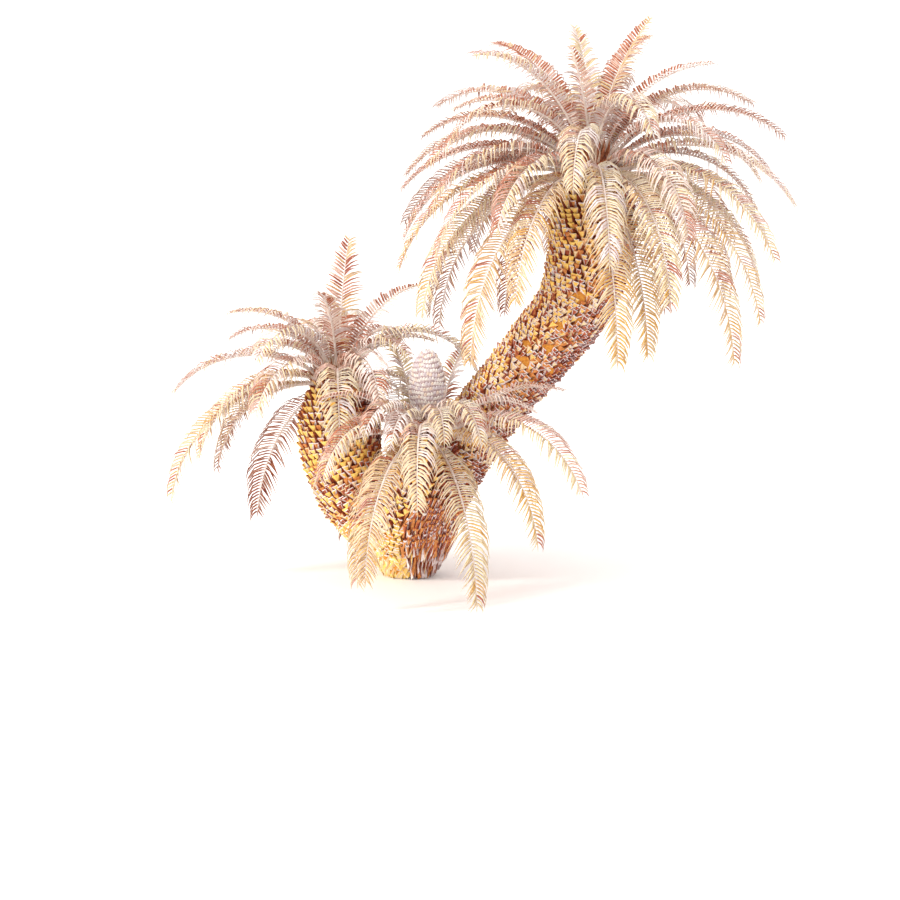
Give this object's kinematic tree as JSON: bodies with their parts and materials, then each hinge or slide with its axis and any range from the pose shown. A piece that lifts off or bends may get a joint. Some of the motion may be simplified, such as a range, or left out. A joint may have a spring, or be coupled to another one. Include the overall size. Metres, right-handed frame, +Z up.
{
  "type": "sago palm",
  "caption": "Low palm-like cycad: a leaning scaly trunk and side stems from one foot, each head ringed with arching feathery fronds, one holding a pale seed cone.",
  "frame": {"origin": "centre of the flat cut under the main trunk, at ground level", "axes": "+Z up, +X the way the main trunk leans, -Y towards the head with the seed cone"},
  "size_m": [2.775, 2.1181, 2.4948],
  "materials": {
    "bark": "rough, dry leaf bases in gold and rust brown",
    "leaf": "dry straw gold above, rust pink below, pale ribs",
    "felt": "matt pale felt"
  },
  "bodies": {
    "root": {"front_frond_06": "leaf", "front_fronds_01": "leaf", "front_fronds_02": "leaf", "front_fronds_03": "leaf", "front_fronds_04": "leaf", "front_fronds_05": "leaf", "front_fronds_07": "leaf", "front_fronds_08": "leaf", "front_fronds_09": "leaf", "front_fronds_10": "leaf", "front_fronds_11": "leaf", "front_fronds_12": "leaf", "front_stem": "bark", "left_fronds_01": "leaf", "left_fronds_02": "leaf", "left_fronds_03": "leaf", "left_fronds_04": "leaf", "left_fronds_05": "leaf", "left_fronds_06": "leaf", "left_fronds_07": "leaf", "left_fronds_08": "leaf", "left_fronds_09": "leaf", "left_fronds_10": "leaf", "left_fronds_11": "leaf", "left_fronds_12": "leaf", "left_fronds_13": "leaf", "left_fronds_14": "leaf", "left_stem": "bark", "main_frond_30": "leaf", "main_fronds_01": "leaf", "main_fronds_02": "leaf", "main_fronds_03": "leaf", "main_fronds_04": "leaf", "main_fronds_05": "leaf", "main_fronds_06": "leaf", "main_fronds_07": "leaf", "main_fronds_08": "leaf", "main_fronds_09": "leaf", "main_fronds_10": "leaf", "main_fronds_11": "leaf", "main_fronds_12": "leaf", "main_fronds_13": "leaf", "main_fronds_14": "leaf", "main_fronds_15": "leaf", "main_fronds_16": "leaf", "main_fronds_17": "leaf", "main_fronds_18": "leaf", "main_fronds_19": "leaf", "main_fronds_20": "leaf", "main_fronds_21": "leaf", "main_fronds_22": "leaf", "main_fronds_23": "leaf", "main_fronds_24": "leaf", "main_fronds_25": "leaf", "main_fronds_26": "leaf", "main_fronds_27": "leaf", "main_fronds_28": "leaf", "main_fronds_29": "leaf", "main_trunk": "bark", "seed_cone": "felt"}
  },
  "joints": []
}
